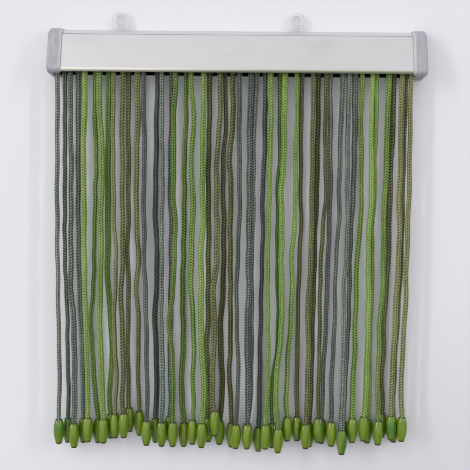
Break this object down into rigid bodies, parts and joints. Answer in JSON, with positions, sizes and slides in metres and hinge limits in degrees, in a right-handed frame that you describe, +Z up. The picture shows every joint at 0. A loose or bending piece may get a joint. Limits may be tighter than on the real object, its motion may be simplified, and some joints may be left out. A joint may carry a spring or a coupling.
{
  "type": "fly screen curtain with its hanging rail",
  "caption": "Fly screen curtain of braided cords in blocks of slate, bright green and olive, each ending in a lacquered wooden bead, on an aluminium rail with end caps and clear hanging tabs.",
  "frame": {"origin": "centre of the rail's flat back face, which lies against the wall", "axes": "+X along the rail to the right as seen from the front, +Y into the wall, so the front faces -Y, +Z up"},
  "size_m": [0.3, 0.0211, 0.3596],
  "materials": {
    "aluminium": "satin anodised",
    "cap_plastic": "satin grey moulding",
    "clear_plastic": "clear",
    "cord_slate": "braided yarn",
    "cord_green": "braided yarn",
    "cord_olive": "braided yarn",
    "bead_wood": "gloss lacquer over stained wood"
  },
  "bodies": {
    "root": {"rail": "aluminium", "cap_left": "cap_plastic", "cap_right": "cap_plastic", "tab_left": "clear_plastic", "tab_right": "clear_plastic", "cords": "cord_green", "bead_01": "bead_wood", "bead_02": "bead_wood", "bead_03": "bead_wood", "bead_04": "bead_wood", "bead_05": "bead_wood", "bead_06": "bead_wood", "bead_07": "bead_wood", "bead_08": "bead_wood", "bead_09": "bead_wood", "bead_10": "bead_wood", "bead_11": "bead_wood", "bead_12": "bead_wood", "bead_13": "bead_wood", "bead_14": "bead_wood", "bead_15": "bead_wood", "bead_16": "bead_wood", "bead_17": "bead_wood", "bead_18": "bead_wood", "bead_19": "bead_wood", "bead_20": "bead_wood", "bead_21": "bead_wood", "bead_22": "bead_wood", "bead_23": "bead_wood", "bead_24": "bead_wood", "bead_25": "bead_wood", "bead_26": "bead_wood", "bead_27": "bead_wood", "bead_28": "bead_wood", "bead_29": "bead_wood", "bead_30": "bead_wood", "bead_31": "bead_wood", "bead_32": "bead_wood", "bead_33": "bead_wood", "bead_34": "bead_wood", "bead_35": "bead_wood", "bead_36": "bead_wood", "bead_37": "bead_wood", "bead_38": "bead_wood", "bead_39": "bead_wood", "bead_40": "bead_wood", "bead_41": "bead_wood", "bead_42": "bead_wood", "bead_43": "bead_wood", "bead_44": "bead_wood", "bead_45": "bead_wood", "bead_46": "bead_wood", "bead_47": "bead_wood", "bead_48": "bead_wood"}
  },
  "joints": []
}
